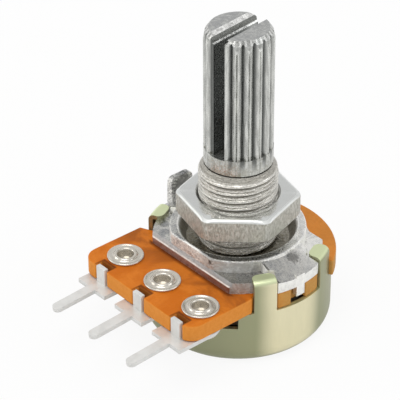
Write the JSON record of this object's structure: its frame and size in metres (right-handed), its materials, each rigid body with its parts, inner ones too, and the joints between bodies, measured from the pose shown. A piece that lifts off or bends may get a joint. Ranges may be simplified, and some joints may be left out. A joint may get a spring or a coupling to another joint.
{
  "type": "rotary potentiometer",
  "caption": "Round rotary potentiometer with a metal can, a threaded bushing with its nut, a split knurled shaft, and solder pins riveted to a board that sticks out at one side.",
  "frame": {"origin": "on the shaft's axis, at the top of the mounting ring that meets the panel", "axes": "+Z along the shaft towards its tip, -Y the way the solder pins point, -X the side of the locating peg"},
  "size_m": [0.0164, 0.025, 0.0286],
  "materials": {
    "die_cast_zinc": "die-cast zinc, satin",
    "shaft_alloy": "satin",
    "plated_nut": "nickel plated",
    "spring_steel": "dark oiled",
    "phenolic_board": "paper laminate",
    "carbon_ink": "matte print",
    "silver_ink": "satin print",
    "tinned_terminal": "tin plated",
    "tinned_rivet": "bright tin plated",
    "moulded_rotor": "natural moulding",
    "spring_bronze": "satin",
    "plated_can": "yellow passivated zinc"
  },
  "bodies": {
    "housing": {"front_plate": "die_cast_zinc", "hex_nut": "plated_nut", "element_board": "phenolic_board", "resistive_track": "carbon_ink", "collector_ring": "silver_ink", "end_pad_left": "silver_ink", "end_pad_right": "silver_ink", "terminal_left": "tinned_terminal", "terminal_centre": "tinned_terminal", "terminal_right": "tinned_terminal", "rivet_left": "tinned_rivet", "rivet_centre": "tinned_rivet", "rivet_right": "tinned_rivet", "rear_can": "plated_can"},
    "spindle": {"shaft": "shaft_alloy", "retaining_clip": "spring_steel", "rotor": "moulded_rotor", "wiper_contact": "spring_bronze"}
  },
  "joints": [
    {"name": "shaft_turn", "type": "hinge", "parent": "housing", "child": "spindle", "pos_m": [0, 0, 0], "axis": [0, 0, 1], "range_deg": [-150, 150]}
  ]
}
